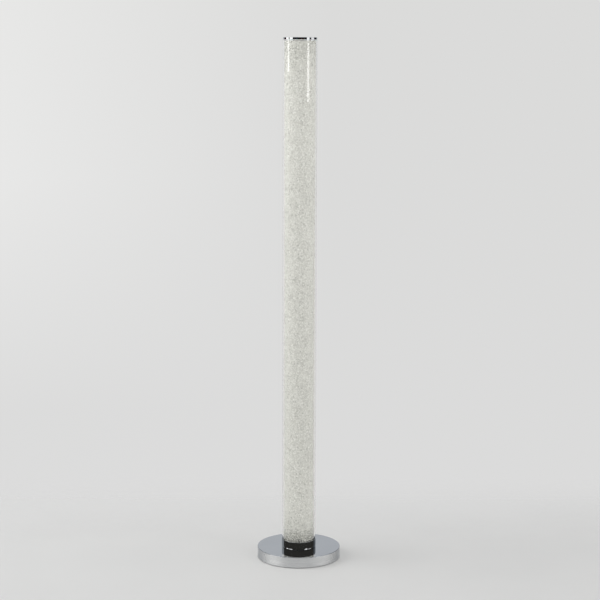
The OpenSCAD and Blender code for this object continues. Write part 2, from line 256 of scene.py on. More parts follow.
def crystal_granules_crushed():
    """Crushed clear resin crystals glued on edge to edge: each facet is glossy, and each grain has its
    own shade. Most are frosted and nearly white. Close to the foot beside the collar, and a little
    under the cap, the grains are darkened with painted shade, where the collar and the cap shade the
    column."""
    material, tree = blank("crystal_granules_crushed")
    own = add(tree, "ShaderNodeAttribute", attribute_name="shade").outputs["Fac"]
    place = add(tree, "ShaderNodeSeparateXYZ", {0: add(tree, "ShaderNodeTexCoord").outputs["Object"]})

    # Painted shade: how far the grains are darkened along the column. It is deepest at the foot beside
    # the collar, and a little under the cap, where shade falls. The ramp's places are shares of this
    # height in m.
    ramp_top = 1.25
    height = add(tree, "ShaderNodeMapRange", {"Value": place.outputs["Z"], "From Max": ramp_top})
    painted_end_shade = add(tree, "ShaderNodeValToRGB", {"Fac": height},
                 [(0.036, "#000000"), (0.046, "#787878"), (0.056, "#C2C2C2"), (0.072, "#EEEEEE"),
                  (0.1, "#FFFFFF"), (0.93, "#FFFFFF"), (0.98, "#DEDEDE")])

    # How pale each grain is. Where the painted shade is deepest, only a trace of its own draw is left.
    weight = add(tree, "ShaderNodeMath", {0: own, 1: 0.45, 2: 0.425}, operation="MULTIPLY_ADD")
    faint = add(tree, "ShaderNodeMath", {0: own, 1: 0.15}, operation="MULTIPLY")
    shade = add(tree, "ShaderNodeMath", {0: painted_end_shade, 1: weight, 2: faint}, operation="MULTIPLY_ADD")
    # The darkest stops are reached only where the painted shade at the ends is deepest.
    tone = add(tree, "ShaderNodeValToRGB", {"Fac": shade},
               [(0.0, "#1E1E1C"), (0.12, "#92928D"), (0.45, "#C5C5C1"), (0.54, "#E7E7E3"),
                (1.0, "#FEFEFB")])
    skin = dressed(tree, tone, own, (0.32, 0.12), grain(tree, 0.4), 0.02, 0.4, middle=(0, 1),
                   IOR=1.49)
    add(tree, "ShaderNodeOutputMaterial", {"Surface": skin})
    return material


def cast_iron_primed():
    """Sand-cast iron under black primer: dull, pitted by the sand, and greyer where it is high."""
    material, tree = blank("cast_iron_primed")
    sand = grain(tree, 0.9, detail=4.0)
    tone = add(tree, "ShaderNodeValToRGB", {"Fac": sand}, [(0.35, "#222326"), (0.75, "#3E4043")])
    skin = dressed(tree, tone, sand, (0.85, 0.65), sand, 0.25)
    add(tree, "ShaderNodeOutputMaterial", {"Surface": skin})
    return material


def steel_zinc_plated():
    """Cold-rolled steel, zinc plated and passivated: satin metal with a faint blue and straw cast."""
    material, tree = blank("steel_zinc_plated")
    cast = grain(tree, 14, detail=4.0, twist=0.8)
    tone = add(tree, "ShaderNodeValToRGB", {"Fac": cast},
               [(0.3, "#BCC2C8"), (0.5, "#C6C8C8"), (0.7, "#CBC9BF")])
    rolled = grain(tree, 1.5, stretch=(12, 1, 1))
    skin = dressed(tree, tone, rolled, (0.26, 0.42), grain(tree, 0.8), 0.01, 0.4, Metallic=1.0)
    add(tree, "ShaderNodeOutputMaterial", {"Surface": skin})
    return material


def brass_turned():
    """Free-cutting brass off the lathe: warm metal with fine tool rings across its height."""
    material, tree = blank("brass_turned")
    rings = grain(tree, 0.4, stretch=(60, 60, 1), detail=1.0)
    tarnish = grain(tree, 5)
    tone = add(tree, "ShaderNodeValToRGB", {"Fac": tarnish}, [(0.3, "#C9A557"), (0.7, "#D8B668")])
    skin = dressed(tree, tone, rings, (0.2, 0.34), rings, 0.02, 0.4, Metallic=1.0)
    add(tree, "ShaderNodeOutputMaterial", {"Surface": skin})
    return material


def eva_foam_sheet():
    """Closed-cell foam sheet, split and die cut: dead matte black with fine open cells on its face."""
    material, tree = blank("eva_foam_sheet")
    place = add(tree, "ShaderNodeTexCoord")
    cells_a_metre = 1100        # each about 0.9 mm across
    cells = add(tree, "ShaderNodeTexVoronoi",
                {"Vector": place.outputs["Object"], "Scale": cells_a_metre})
    tone = add(tree, "ShaderNodeValToRGB", {"Fac": cells}, [(0.0, "#1B1B1D"), (0.8, "#2B2B2D")])
    skin = dressed(tree, tone, cells, (0.97, 0.85), cells, 0.15, middle=(0, 0.8))
    add(tree, "ShaderNodeOutputMaterial", {"Surface": skin})
    return material


def rubber_moulded_black():
    """Moulded black rubber: dark and dull, with a bloom of paler dust in the low places."""
    material, tree = blank("rubber_moulded_black")
    bloom = grain(tree, 2.5, detail=4.0)
    tone = add(tree, "ShaderNodeValToRGB", {"Fac": bloom}, [(0.35, "#171718"), (0.7, "#262627")])
    skin = dressed(tree, tone, bloom, (0.5, 0.68), grain(tree, 0.3), 0.02, 0.5)
    add(tree, "ShaderNodeOutputMaterial", {"Surface": skin})
    return material


def silicone_cut_ring():
    """Translucent silicone sheet cut to a ring: cloudy grey white with a waxy sheen."""
    material, tree = blank("silicone_cut_ring")
    cloud = grain(tree, 6)
    tone = add(tree, "ShaderNodeValToRGB", {"Fac": cloud}, [(0.3, "#C9CCCA"), (0.7, "#DADCDA")])
    skin = dressed(tree, tone, cloud, (0.35, 0.5), grain(tree, 0.6), 0.01, 0.5,
                   Subsurface_Weight=0.3, Subsurface_Scale=0.002)
    add(tree, "ShaderNodeOutputMaterial", {"Surface": skin})
    return material


def nylon_moulded():
    """Injection-moulded white nylon: soft sheen, fine eroded texture, slightly creamy in places."""
    material, tree = blank("nylon_moulded")
    flow = grain(tree, 12, twist=1.0)
    tone = add(tree, "ShaderNodeValToRGB", {"Fac": flow}, [(0.3, "#E4E2DA"), (0.7, "#EFEEE9")])
    skin = dressed(tree, tone, flow, (0.38, 0.52), grain(tree, 0.25), 0.02, 0.5)
    add(tree, "ShaderNodeOutputMaterial", {"Surface": skin})
    return material


def aluminium_extruded():
    """Mill-finish extruded aluminium: satin grey with long die lines along the bar."""
    material, tree = blank("aluminium_extruded")
    lines = grain(tree, 0.5, stretch=(1, 1, 150), detail=2.0)
    tone = add(tree, "ShaderNodeValToRGB", {"Fac": lines}, [(0.3, "#BFC1C3"), (0.7, "#CDCFD0")])
    skin = dressed(tree, tone, lines, (0.28, 0.42), lines, 0.01, 0.5, Metallic=1.0)
    add(tree, "ShaderNodeOutputMaterial", {"Surface": skin})
    return material


def along_strip(tree, pitch_mm, start_mm):
    """How far a point is from the nearest mark along the column, in pitches, from 0 to 0.5."""
    height = add(tree, "ShaderNodeSeparateXYZ", {0: add(tree, "ShaderNodeTexCoord").outputs["Object"]})
    steps = add(tree, "ShaderNodeMath",
                {0: height.outputs["Z"], 1: 1 / (pitch_mm * MM), 2: 0.5 - start_mm / pitch_mm},
                operation="MULTIPLY_ADD")
    part = add(tree, "ShaderNodeMath", {0: steps}, operation="FRACT")
    away = add(tree, "ShaderNodeMath", {0: part, 1: 0.5}, operation="SUBTRACT")
    return add(tree, "ShaderNodeMath", {0: away}, operation="ABSOLUTE")


def circuit_board_solder_masked():
    """Glass-fibre board under white solder mask: smooth and cool white, with a row of tinned pads at
    every third LED, and the ghost of its copper tracks."""
    material, tree = blank("circuit_board_solder_masked")
    tracks = grain(tree, 1.4, stretch=(1, 1, 80), detail=1.0)
    mask = add(tree, "ShaderNodeValToRGB", {"Fac": tracks}, [(0.45, "#EDEEEB"), (0.55, "#E2E4DF")])
    half_pad = 0.025        # in pitches
    pads = add(tree, "ShaderNodeMath", {0: along_strip(tree, PAD_PITCH, FIRST_PADS), 1: half_pad},
               operation="LESS_THAN")
    tone = add(tree, "ShaderNodeMix", {"Factor": pads, "A": mask, "B": linear("#B9B4A4")},
               data_type="RGBA")
    skin = dressed(tree, tone, pads, (0.42, 0.25), tracks, 0.02, 0.4, middle=(0, 1))
    add(tree, "ShaderNodeOutputMaterial", {"Surface": skin})
    return material


def led_phosphor_potted():
    """White LED packages: a moulded white frame round a window of yellow phosphor under clear resin."""
    material, tree = blank("led_phosphor_potted")
    half_window = 0.075     # in pitches
    window = add(tree, "ShaderNodeMath", {0: along_strip(tree, LED_PITCH, FIRST_LED), 1: half_window},
                 operation="LESS_THAN")
    resin = grain(tree, 0.4)
    speck = add(tree, "ShaderNodeValToRGB", {"Fac": resin}, [(0.3, "#E2C23C"), (0.7, "#F0D763")])
    tone = add(tree, "ShaderNodeMix", {"Factor": window, "A": linear("#EFEFEA"), "B": speck},
               data_type="RGBA")
    skin = dressed(tree, tone, window, (0.45, 0.25), resin, 0.01, 0.3, middle=(0, 1),
                   Coat_Weight=0.6, Coat_Roughness=0.08)
    add(tree, "ShaderNodeOutputMaterial", {"Surface": skin})
    return material


def pvc_wire_extruded():
    """Extruded PVC insulation: one lead red and one black, smooth with a slight draw texture."""
    material, tree = blank("pvc_wire_extruded")
    side = add(tree, "ShaderNodeSeparateXYZ", {0: add(tree, "ShaderNodeTexCoord").outputs["Object"]})
    right = add(tree, "ShaderNodeMath", {0: side.outputs["X"], 1: 0.0}, operation="GREATER_THAN")
    tint = grain(tree, 3)
    red = add(tree, "ShaderNodeValToRGB", {"Fac": tint}, [(0.3, "#A81B16"), (0.7, "#BC2720")])
    tone = add(tree, "ShaderNodeMix", {"Factor": right, "A": linear("#1D1D1E"), "B": red},
               data_type="RGBA")
    skin = dressed(tree, tone, tint, (0.3, 0.42), grain(tree, 0.3, stretch=(1, 8, 8)), 0.01, 0.3)
    add(tree, "ShaderNodeOutputMaterial", {"Surface": skin})
    return material


# Turned pieces. Each is one outline in mm, swept round its axis.

def arc(r, z, radius, start, end, steps=8):
    """Points on a circle round (r, z), from the angle start to end in degrees."""
    turns = [math.radians(start + (end - start) * i / steps) for i in range(steps + 1)]
    return [(r + radius * math.cos(t), z + radius * math.sin(t)) for t in turns]


def held(outline, hold=0.08):
    """Adds a point close to each end of a long stretch, so that it shades flat beside rounded edges."""
    kept = []
    for a, b in zip(outline, outline[1:] + outline[:1]):
        kept.append(a)
        length = math.dist(a, b)
        if length > 6 * hold:
            for share in (hold / length, 1 - hold / length):
                kept.append((a[0] + (b[0] - a[0]) * share, a[1] + (b[1] - a[1]) * share))
    return kept


def turned(name, outline, material, steps=192, lying=None):
    """A closed piece swept from a closed outline of (radius, height). lying is the height in mm of an
    axis that lies along +Y, for a piece in the rim."""
    outline = held(outline)
    mesh = bmesh.new()
    rings = []
    for i in range(steps):
        turn = 2 * math.pi * i / steps
        ring = []
        for r, h in outline:
            spot = (r * math.cos(turn), r * math.sin(turn), h)
            if lying is not None:
                spot = (r * math.cos(turn), h, lying + r * math.sin(turn))
            ring.append(mesh.verts.new(Vector(spot) * MM))
        rings.append(ring)
    for one, two in zip(rings, rings[1:] + rings[:1]):
        for i in range(len(outline)):
            j = (i + 1) % len(outline)
            if max(outline[i][0], outline[j][0]) > 0:
                mesh.faces.new((one[i], two[i], two[j], one[j]))
    bmesh.ops.remove_doubles(mesh, verts=mesh.verts, dist=1e-7)
    bmesh.ops.recalc_face_normals(mesh, faces=mesh.faces)
    return finished(name, mesh, material)


def finished(name, mesh, material):
    """Makes the object of a bmesh, with smooth faces between sharp edges."""
    data = bpy.data.meshes.new(name)
    mesh.to_mesh(data)
    mesh.free()
    data.shade_smooth()
    data.set_sharp_from_angle(angle=SHARP_ANGLE)
    data.materials.append(material)
    piece = bpy.data.objects.new(name, data)
    scene.collection.objects.link(piece)
    return piece


def drilled(piece, radius, start, end, steps=48):
    """Cuts a round hole through the piece, from start to end in mm."""
    a, b = Vector(start) * MM, Vector(end) * MM
    turn = (b - a).to_track_quat("Z", "Y").to_matrix().to_4x4()
    turn.translation = (a + b) / 2
    mesh = bmesh.new()
    bmesh.ops.create_cone(mesh, cap_ends=True, segments=steps, radius1=radius * MM,
                          radius2=radius * MM, depth=(b - a).length, matrix=turn)
    drill = finished("drill", mesh, piece.data.materials[0])
    cut = piece.modifiers.new("hole", "BOOLEAN")
    cut.operation = "DIFFERENCE"
    cut.object = drill
    scene.view_layers[0].update()
    cutaway = piece.evaluated_get(bpy.context.evaluated_depsgraph_get())
    data = bpy.data.meshes.new_from_object(cutaway)
    piece.modifiers.remove(cut)
    piece.data = data
    data.name = piece.name
    data.set_sharp_from_angle(angle=SHARP_ANGLE)
    bpy.data.objects.remove(drill)


def fit(piece, node):
    """The piece stands for the CAD node: it is attached to the root body, and the node is hidden."""
    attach(piece, "root")
    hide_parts(node)


def base_cover_pressed(chrome):
    """Deep-drawn steel disc with a small rounded top edge and a plain trimmed rim."""
    r, foot, deck = reach("base_cover"), low("base_cover"), high("base_cover")
    edge, inner_edge, burr = 1.2, 0.3, 0.25
    bore = r - COVER_SHEET
    under = deck - COVER_SHEET
    outline = [(r, foot + burr), *arc(r - edge, deck - edge, edge, 0, 90, 10), (TIE_HOLE, deck),
               (TIE_HOLE, under), *arc(bore - inner_edge, under - inner_edge, inner_edge, 90, 0, 4),
               (bore, foot), (r - burr, foot)]
    piece = turned("base_cover_pressed", outline, chrome)
    cord_z = (low("cord_grommet") + high("cord_grommet")) / 2
    cord_hole = GROMMET_WAIST + GROMMET_ROOM

    # Each drill starts and ends a few mm outside the sheet that it cuts.
    within, beyond = bore - 6, r + 4
    drilled(piece, cord_hole, (0, within, cord_z), (0, beyond, cord_z))
    below, above = under - 2, deck + 4
    drilled(piece, LEAD_HOLE, (0, LEAD_Y, below), (0, LEAD_Y, above))
    fit(piece, "base_cover")


def collar_spun(chrome):
    """Spun collar: straight wall that draws in at the foot, and a thin bright lip at the top."""
    r, foot, top = reach("lower_collar"), low("lower_collar"), high("lower_collar")
    lean = math.degrees(math.acos(1 - COLLAR_DRAW / COLLAR_CURVE))
    rise = COLLAR_CURVE * math.sin(math.radians(lean))
    lip, burr = COLLAR_WALL / 2, 0.1
    bore = r - COLLAR_WALL
    floor = foot + COLLAR_FLOOR
    outline = [(TIE_HOLE, foot), *arc(r - COLLAR_CURVE, foot + rise, COLLAR_CURVE, -lean, 0, 14),
               *arc(r - lip, top - lip, lip, 0, 90, 6), (bore + burr, top), (bore, top - burr),
               (bore, floor), (TIE_HOLE, floor)]
    piece = turned("collar_spun", outline, chrome)
    below, above = foot - 2, floor + 2      # where the drill starts and ends
    drilled(piece, LEAD_HOLE, (0, LEAD_Y, below), (0, LEAD_Y, above))
    fit(piece, "lower_collar")


def cap_turned(chrome):
    """Solid cap with a softened top edge, a step that centres it in the tube, and a bored boss."""
    r, top, seat = reach("top_cap"), high("top_cap"), high("upper_gasket")
    step, boss = high("tie_tube"), low("top_cap")
    edge, burr, room = 0.8, 0.15, 0.3
    spigot = reach("lower_plug")
    bore_end = step + room
    outline = [(0, top), *arc(r - edge, top - edge, edge, 90, 0, 8), (r, seat + burr),
               (r - burr, seat), (spigot, seat), (spigot, step), (CAP_BOSS, step), (CAP_BOSS, boss),
               (TIE_HOLE, boss), (TIE_HOLE, bore_end), (0, bore_end)]
    piece = turned("cap_turned", outline, chrome)
    fit(piece, "top_cap")


def column_tube(acrylic):
    """Clear tube, its saw-cut ends eased."""
    r, foot, top = reach("outer_tube"), low("outer_tube"), high("outer_tube")
    ease = 0.3
    bore = r - TUBE_WALL
    outline = [*arc(r - ease, foot + ease, ease, -90, 0, 3),
               *arc(r - ease, top - ease, ease, 0, 90, 3),
               *arc(bore + ease, top - ease, ease, 90, 180, 3),
               *arc(bore + ease, foot + ease, ease, 180, 270, 3)]
    piece = turned("column_tube", outline, acrylic, steps=256)
    fit(piece, "outer_tube")


def rim_grommet(rubber):
    """Snap-in grommet: a soft outer lip, a waist as thick as the rim, and an inner lip."""
    lowest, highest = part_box("cord_grommet")
    inside, outside = lowest[1] / MM, highest[1] / MM
    rim = reach("base_cover")
    lip, waist, hole = reach("cord_grommet"), GROMMET_WAIST, GROMMET_HOLE
    soft, eased = GROMMET_LIP / 3, 0.4
    outline = [*arc(hole + eased, inside + eased, eased, 180, 270, 4),
               *arc(lip - soft, inside + soft, soft, -90, 0, 5), (lip, inside + GROMMET_LIP),
               (waist, inside + GROMMET_LIP), (waist, rim), (lip, rim),
               *arc(lip - soft, outside - soft, soft, 0, 90, 5),
               *arc(hole + eased, outside - eased, eased, 90, 180, 4)]
    height = (lowest[2] + highest[2]) / 2 / MM
    piece = turned("rim_grommet", outline, rubber, steps=72, lying=height)
    fit(piece, "cord_grommet")


# The crystal coat: granules scattered on the liner by Geometry Nodes.

COAT_LENGTHS = ("crystal_coat_low", "crystal_coat_middle", "crystal_coat_high")
GRAINS_A_LENGTH = 11000
COAT_GLUE = 0.02        # mm between the liner and the grains
COAT_ROOM = 0.4         # mm left free under the tube
COAT_END = 1.5          # mm left free at each end of the liner

# The lengths here are in metres, as Geometry Nodes reads them.
COAT_INPUTS = (
    ("Inner Radius", "NodeSocketFloat", (reach("crystal_sleeve") + COAT_GLUE) * MM),
    ("Outer Radius", "NodeSocketFloat", (reach("outer_tube") - TUBE_WALL - COAT_ROOM) * MM),
    ("Bottom", "NodeSocketFloat", (low("crystal_sleeve") + COAT_END) * MM),
    ("Top", "NodeSocketFloat", (high("crystal_sleeve") - COAT_END) * MM),
    ("Shortest", "NodeSocketFloat", 0.0020),
    ("Longest", "NodeSocketFloat", 0.0041),
    ("Thinnest", "NodeSocketFloat", 0.0005),
    ("Thickest", "NodeSocketFloat", 0.0008),
    ("Scatter", "NodeSocketFloat", 0.0018),
    ("Lean", "NodeSocketFloat", 0.16),
    ("Chip", "NodeSocketFloat", 0.00035),
    ("Total", "NodeSocketInt", GRAINS_A_LENGTH * len(COAT_LENGTHS)),
    ("First", "NodeSocketInt", 0),
    ("Count", "NodeSocketInt", GRAINS_A_LENGTH),
    ("Seed", "NodeSocketInt", 41),
    ("Material", "NodeSocketMaterial", None),
)


def coat_tree():
    """Places facetted grains on a golden-angle spiral round the liner, so that they cover it evenly,
    then shifts, spins, leans and chips each one at random."""
    tree = bpy.data.node_groups.new("crystal_coat", "GeometryNodeTree")
    for name, kind, value in COAT_INPUTS:
        socket = tree.interface.new_socket(name, in_out="INPUT", socket_type=kind)
        if value is not None:
            socket.default_value = value
    tree.interface.new_socket("Geometry", in_out="OUTPUT", socket_type="NodeSocketGeometry")
    given = add(tree, "NodeGroupInput").outputs
    index = add(tree, "GeometryNodeInputIndex")
    place = add(tree, "ShaderNodeMath", {0: index, 1: given["First"]}, operation="ADD")

    # What each grain draws at random, between these two values. Rise and lean are shares of Scatter
    # and Lean, slip and spin are angles, and width is a share of the length.
    ranges = {
        "rise": (-1.0, 1.0), "slip": (-0.05, 0.05), "spin": (0.0, 2 * math.pi),
        "lean": ([-1.0] * 3, [1.0] * 3), "length": (given["Shortest"], given["Longest"]),
        "width": (0.6, 1.0), "depth": (given["Thinnest"], given["Thickest"]), "shade": (0.0, 1.0),
    }
    drawn = {}
    for number, (name, (least, most)) in enumerate(ranges.items()):
        seed = add(tree, "ShaderNodeMath", {0: given["Seed"], 1: number}, operation="ADD")
        drawn[name] = add(tree, "FunctionNodeRandomValue",
                          {"Min": least, "Max": most, "ID": place, "Seed": seed},
                          data_type="FLOAT_VECTOR" if name == "lean" else "FLOAT")

    # Where each one sits on the spiral: its height, with some scatter, and its way out from the axis.
    golden_angle = math.pi * (3 - math.sqrt(5))
    climb = add(tree, "ShaderNodeMapRange",
                {"Value": place, "From Max": given["Total"], "To Min": given["Bottom"],
                 "To Max": given["Top"]})
    height = add(tree, "ShaderNodeMath", {0: drawn["rise"], 1: given["Scatter"], 2: climb},
                 operation="MULTIPLY_ADD")
    height = add(tree, "ShaderNodeClamp",
                 {"Value": height, "Min": given["Bottom"], "Max": given["Top"]})
    angle = add(tree, "ShaderNodeMath", {0: place, 1: golden_angle, 2: drawn["slip"]},
                operation="MULTIPLY_ADD")
    across = add(tree, "ShaderNodeMath", {0: angle}, operation="COSINE")
    along = add(tree, "ShaderNodeMath", {0: angle}, operation="SINE")
    outward = add(tree, "ShaderNodeCombineXYZ", {"X": across, "Y": along})
    ring = add(tree, "ShaderNodeVectorMath", {0: outward, "Scale": given["Inner Radius"]},
               operation="SCALE")
    lift = add(tree, "ShaderNodeCombineXYZ", {"Z": height})
    spot = add(tree, "ShaderNodeVectorMath", {0: ring, 1: lift}, operation="ADD")
    points = add(tree, "GeometryNodePoints", {"Count": given["Count"], "Position": spot})

    # How each one stands: spun on its face, and leaning off the straight way out.
    spun = add(tree, "ShaderNodeCombineXYZ", {"Z": drawn["spin"]})
    spin = add(tree, "FunctionNodeEulerToRotation", {0: spun})
    lean = add(tree, "ShaderNodeVectorMath", {0: drawn["lean"], "Scale": given["Lean"]},
               operation="SCALE")
    facing = add(tree, "ShaderNodeVectorMath", {0: outward, 1: lean}, operation="ADD")
    stance = add(tree, "FunctionNodeAlignRotationToVector", {"Rotation": spin, "Vector": facing},
                 axis="Z")
    width = add(tree, "ShaderNodeMath", {0: drawn["length"], 1: drawn["width"]}, operation="MULTIPLY")
    size = add(tree, "ShaderNodeCombineXYZ",
               {"X": drawn["length"], "Y": width, "Z": drawn["depth"]})

    # A five-sided crystal, narrower at its outer face, is the blank of them all.
    blank_grain = add(tree, "GeometryNodeMeshCone",
                      {"Vertices": 5, "Radius Top": 0.28, "Radius Bottom": 0.55, "Depth": 1.0})
    grains = add(tree, "GeometryNodeInstanceOnPoints",
                 {"Points": points, "Instance": blank_grain, "Rotation": stance, "Scale": size})
    shaded = add(tree, "GeometryNodeStoreNamedAttribute",
                 {"Geometry": grains, "Name": "shade", "Value": drawn["shade"]},
                 data_type="FLOAT", domain="INSTANCE")
    real = add(tree, "GeometryNodeRealizeInstances", {"Geometry": shaded})

    # Chips each corner, then keeps it between the liner and the tube.
    chip = add(tree, "FunctionNodeRandomValue",
               {"Min": [-1.0] * 3, "Max": [1.0] * 3, "ID": index, "Seed": given["Seed"]},
               data_type="FLOAT_VECTOR")
    chip = add(tree, "ShaderNodeVectorMath", {0: chip, "Scale": given["Chip"]}, operation="SCALE")
    corner = add(tree, "GeometryNodeInputPosition")
    part = add(tree, "ShaderNodeSeparateXYZ",
               {0: add(tree, "ShaderNodeVectorMath", {0: corner, 1: chip}, operation="ADD")})
    flat = add(tree, "ShaderNodeCombineXYZ", {"X": part.outputs["X"], "Y": part.outputs["Y"]})
    far = add(tree, "ShaderNodeVectorMath", {0: flat}, operation="LENGTH")
    near = add(tree, "ShaderNodeClamp",
               {"Value": far, "Min": given["Inner Radius"], "Max": given["Outer Radius"]})
    pull = add(tree, "ShaderNodeMath", {0: near, 1: far}, operation="DIVIDE")
    pulled = add(tree, "ShaderNodeVectorMath", {0: flat, "Scale": pull}, operation="SCALE")
    level = add(tree, "ShaderNodeCombineXYZ", {"Z": part.outputs["Z"]})
    placed = add(tree, "ShaderNodeVectorMath", {0: pulled, 1: level}, operation="ADD")
    chipped = add(tree, "GeometryNodeSetPosition", {"Geometry": real, "Position": placed})
    crisp = add(tree, "GeometryNodeSetShadeSmooth", {"Geometry": chipped, "Shade Smooth": False})
    coat = add(tree, "GeometryNodeSetMaterial", {"Geometry": crisp, "Material": given["Material"]})
    add(tree, "NodeGroupOutput", {0: coat})
    return tree


def crystal_coat(material):
    """The coat in three lengths, bottom, middle and top, each one plain mesh."""
    tree = coat_tree()
    named = {s.name: s.identifier for s in tree.interface.items_tree if s.in_out == "INPUT"}
    for number, name in enumerate(COAT_LENGTHS):
        piece = bpy.data.objects.new(name, bpy.data.meshes.new(name))
        grow = piece.modifiers.new("grains", "NODES")
        grow.node_group = tree
        grow[named["First"]] = number * GRAINS_A_LENGTH
        grow[named["Material"]] = material
        scene.collection.objects.link(piece)
        scene.view_layers[0].update()
        depsgraph = bpy.context.evaluated_depsgraph_get()
        data = bpy.data.meshes.new_from_object(
            piece.evaluated_get(depsgraph), preserve_all_data_layers=True, depsgraph=depsgraph)
        piece.modifiers.remove(grow)
        piece.data = data
        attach(piece, "root")


# The studio: world, softboxes and floor.

def light_world():
    """What a camera or glass sees is the pale backdrop. Metal mirrors the studio instead: at eye level
    the backdrop behind, dark flags beside it and a dark room in front, higher up grey walls, and
    overhead a lit ceiling. Matte surfaces get an even light, and what metal throws on them is stronger
    from the left."""
    world = bpy.data.worlds.new("studio")
    world.use_nodes = True
    scene.world = world
    tree = world.node_tree
    tree.nodes.clear()
    way = add(tree, "ShaderNodeTexCoord").outputs["Generated"]
    axis = add(tree, "ShaderNodeSeparateXYZ", {0: way})
    east, north = axis.outputs["X"], axis.outputs["Y"]
    rise = add(tree, "ShaderNodeMath", {0: axis.outputs["Z"]}, operation="ARCSINE")
    path = add(tree, "ShaderNodeLightPath")

    # The backdrop, lighter on the left, and most so at the top.
    level = add(tree, "ShaderNodeMapRange",
                {"Value": rise, "From Min": math.radians(-20), "From Max": math.radians(4)})
    pale = add(tree, "ShaderNodeValToRGB", {"Fac": level}, [(0.0, "#DBDBDB"), (1.0, "#DBDBDA")])
    gain = add(tree, "ShaderNodeMapRange",
               {"Value": rise, "From Min": math.radians(-12.5), "From Max": math.radians(-4),
                "To Min": 1.01, "To Max": 1.14})
    fall = add(tree, "ShaderNodeMapRange",
               {"Value": east, "From Min": -0.2, "From Max": 0.02, "To Min": gain, "To Max": 1.0})
    backdrop = add(tree, "ShaderNodeVectorMath", {0: pale, "Scale": fall}, operation="SCALE")

    # The studio's walls go round from the front (0) by the left (0.25), the back and the right (0.75).
    # At eye level only the backdrop is pale.
    turn = add(tree, "ShaderNodeMath", {0: east, 1: north}, operation="ARCTAN2")
    around = add(tree, "ShaderNodeMath", {0: turn, 1: 0.5 / math.pi, 2: 0.5},
                 operation="MULTIPLY_ADD")
    eye_level = add(tree, "ShaderNodeValToRGB", {"Fac": around},
                    [(0.08, "#060606"), (0.2, "#1E1E1E"), (0.362, "#1E1E1F"), (0.375, "#D0D3D6"),
                     (0.6, "#D0D3D6"), (0.61, "#1E1E1F"), (0.8, "#1E1E1E"), (0.92, "#060606")])

    # Higher up, the base's top shows grey walls all round. What it hands on to the collar is darker,
    # because the collar and the column stand in its way.
    grey = add(tree, "ShaderNodeValToRGB", {"Fac": around},
               [(0.0, "#A4A8AD"), (0.3, "#9A9EA3"), (0.38, "#787C82"), (0.44, "#8C9096"),
                (0.49, "#C2C6CB"), (0.51, "#BEC2C8"), (0.56, "#868A90"), (0.62, "#70747A"),
                (0.7, "#9A9EA3"), (1.0, "#A4A8AD")])
    dark = add(tree, "ShaderNodeValToRGB", {"Fac": around},
               [(0.1, "#3C3B38"), (0.335, "#3C3B38"), (0.345, "#A2A7AC"), (0.5, "#A8ADB2"),
                (0.53, "#868B91"), (0.65, "#565B60"), (0.66, "#3C3B38")])
    again = add(tree, "ShaderNodeMath", {0: path.outputs["Glossy Depth"], 1: 1.5},
                operation="GREATER_THAN")
    higher = add(tree, "ShaderNodeMix", {"Factor": again, "A": grey, "B": dark}, data_type="RGBA")
    lift = add(tree, "ShaderNodeMapRange",
               {"Value": rise, "From Min": math.radians(2), "From Max": math.radians(14)})
    walls = add(tree, "ShaderNodeMix", {"Factor": lift, "A": eye_level, "B": higher},
                data_type="RGBA")

    # The ceiling, and the floor that goes on below the horizon.
    above = add(tree, "ShaderNodeMapRange",
                {"Value": rise, "From Min": math.radians(70), "From Max": math.radians(84)},
                interpolation_type="SMOOTHSTEP")
    room = add(tree, "ShaderNodeMix", {"Factor": above, "A": walls, "B": linear("#E6E6E6")},
               data_type="RGBA")
    below = add(tree, "ShaderNodeMapRange",
                {"Value": rise, "From Min": math.radians(0.5), "From Max": math.radians(-1.5)})
    studio = add(tree, "ShaderNodeMix", {"Factor": below, "A": room, "B": linear("#CFCFCE")},
                 data_type="RGBA")

    # The light that the rim throws back on the floor, most on the left, where the studio is brightest.
    thrown = add(tree, "ShaderNodeMapRange",
                 {"Value": east, "From Min": -0.5, "From Max": 0.5, "To Min": 1.3, "To Max": 0.75})

    # Who sees what.
    straight = add(tree, "ShaderNodeMath", {0: path.outputs["Diffuse Depth"], 1: 0.5},
                   operation="LESS_THAN")
    even = add(tree, "ShaderNodeMix",
               {"Factor": path.outputs["Is Glossy Ray"], "A": linear("#DCDCDC"), "B": thrown},
               data_type="RGBA")
    mirrored = add(tree, "ShaderNodeMath", {0: path.outputs["Is Glossy Ray"], 1: straight},
                   operation="MULTIPLY")
    lit = add(tree, "ShaderNodeMix", {"Factor": mirrored, "A": even, "B": studio}, data_type="RGBA")
    plain = add(tree, "ShaderNodeMath",
                {0: path.outputs["Is Camera Ray"], 1: path.outputs["Is Transmission Ray"]},
                operation="MAXIMUM")
    seen = add(tree, "ShaderNodeMix", {"Factor": plain, "A": lit, "B": backdrop}, data_type="RGBA")
    glow = add(tree, "ShaderNodeBackground", {"Color": seen})
    add(tree, "ShaderNodeOutputWorld", {"Surface": glow})


# Softboxes: degrees round from the camera's side, degrees across, bottom and top in metres, radiance.
# The foot ones end where the tube's two pale lines end, and the upper ones fill out the collar's two
# highlights.
SOFTBOXES = {
    "softbox_left": (-95, 24, 1.272, 3.1, 1.7),
    "softbox_left_upper": (-78.5, 9, 1.6, 3.1, 1.6),
    "softbox_left_foot": (-87, 13, 1.163, 1.27, 3.6),
    "softbox_left_front": (-62, 24, 1.272, 2.6, 1.6),
    "softbox_right": (55, 19, 1.272, 2.6, 1.4),
    "softbox_right_upper": (71.75, 14.5, 1.6, 2.6, 1.4),
    "softbox_right_foot": (57, 14, 1.055, 1.27, 3.8),
    "softbox_right_rear": (92, 26, 1.272, 2.4, 1.2),
}
KEY = (-100, 50, 0.6, 2.8, 0.95)        # the key light, in the same order
SOFTBOX_DISTANCE = 2.0      # in m, from the column's axis


